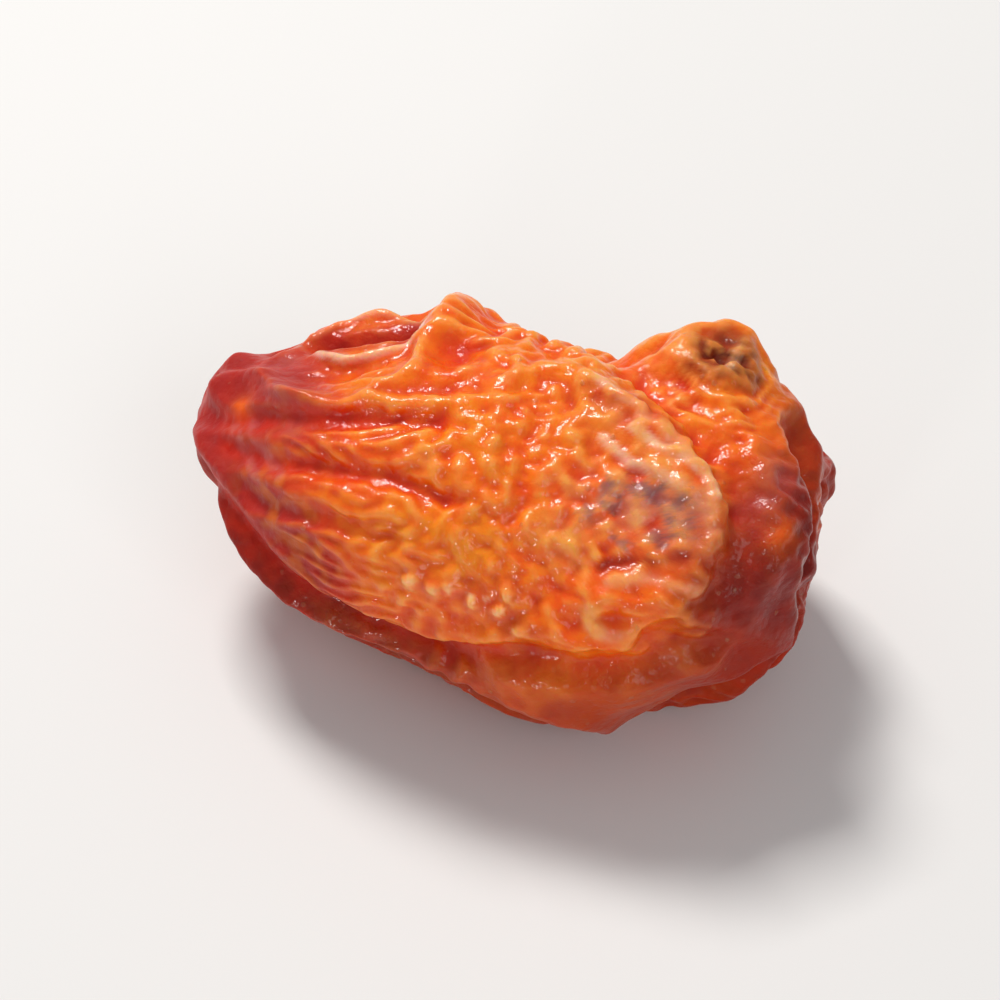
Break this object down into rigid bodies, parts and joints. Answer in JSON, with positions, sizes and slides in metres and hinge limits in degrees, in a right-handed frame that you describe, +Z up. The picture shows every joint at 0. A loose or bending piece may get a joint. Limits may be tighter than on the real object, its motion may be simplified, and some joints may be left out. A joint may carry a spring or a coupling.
{
  "type": "dried sea buckthorn berry",
  "caption": "Small dried berry lying on its side: an egg-shaped fruit with a deeply folded skin, a pointed tip and a puckered stalk end.",
  "frame": {"origin": "under the middle of the berry's bounding box, on the surface that it lies on", "axes": "+X along the berry, from the pointed tip to the blunt stalk end; +Y to its back, where the cup behind the tip opens; +Z up from the pressed face that it lies on"},
  "size_m": [0.0108, 0.0072, 0.0057],
  "materials": {
    "dried_skin": "gloss"
  },
  "bodies": {
    "root": {"berry": "dried_skin"}
  },
  "joints": []
}
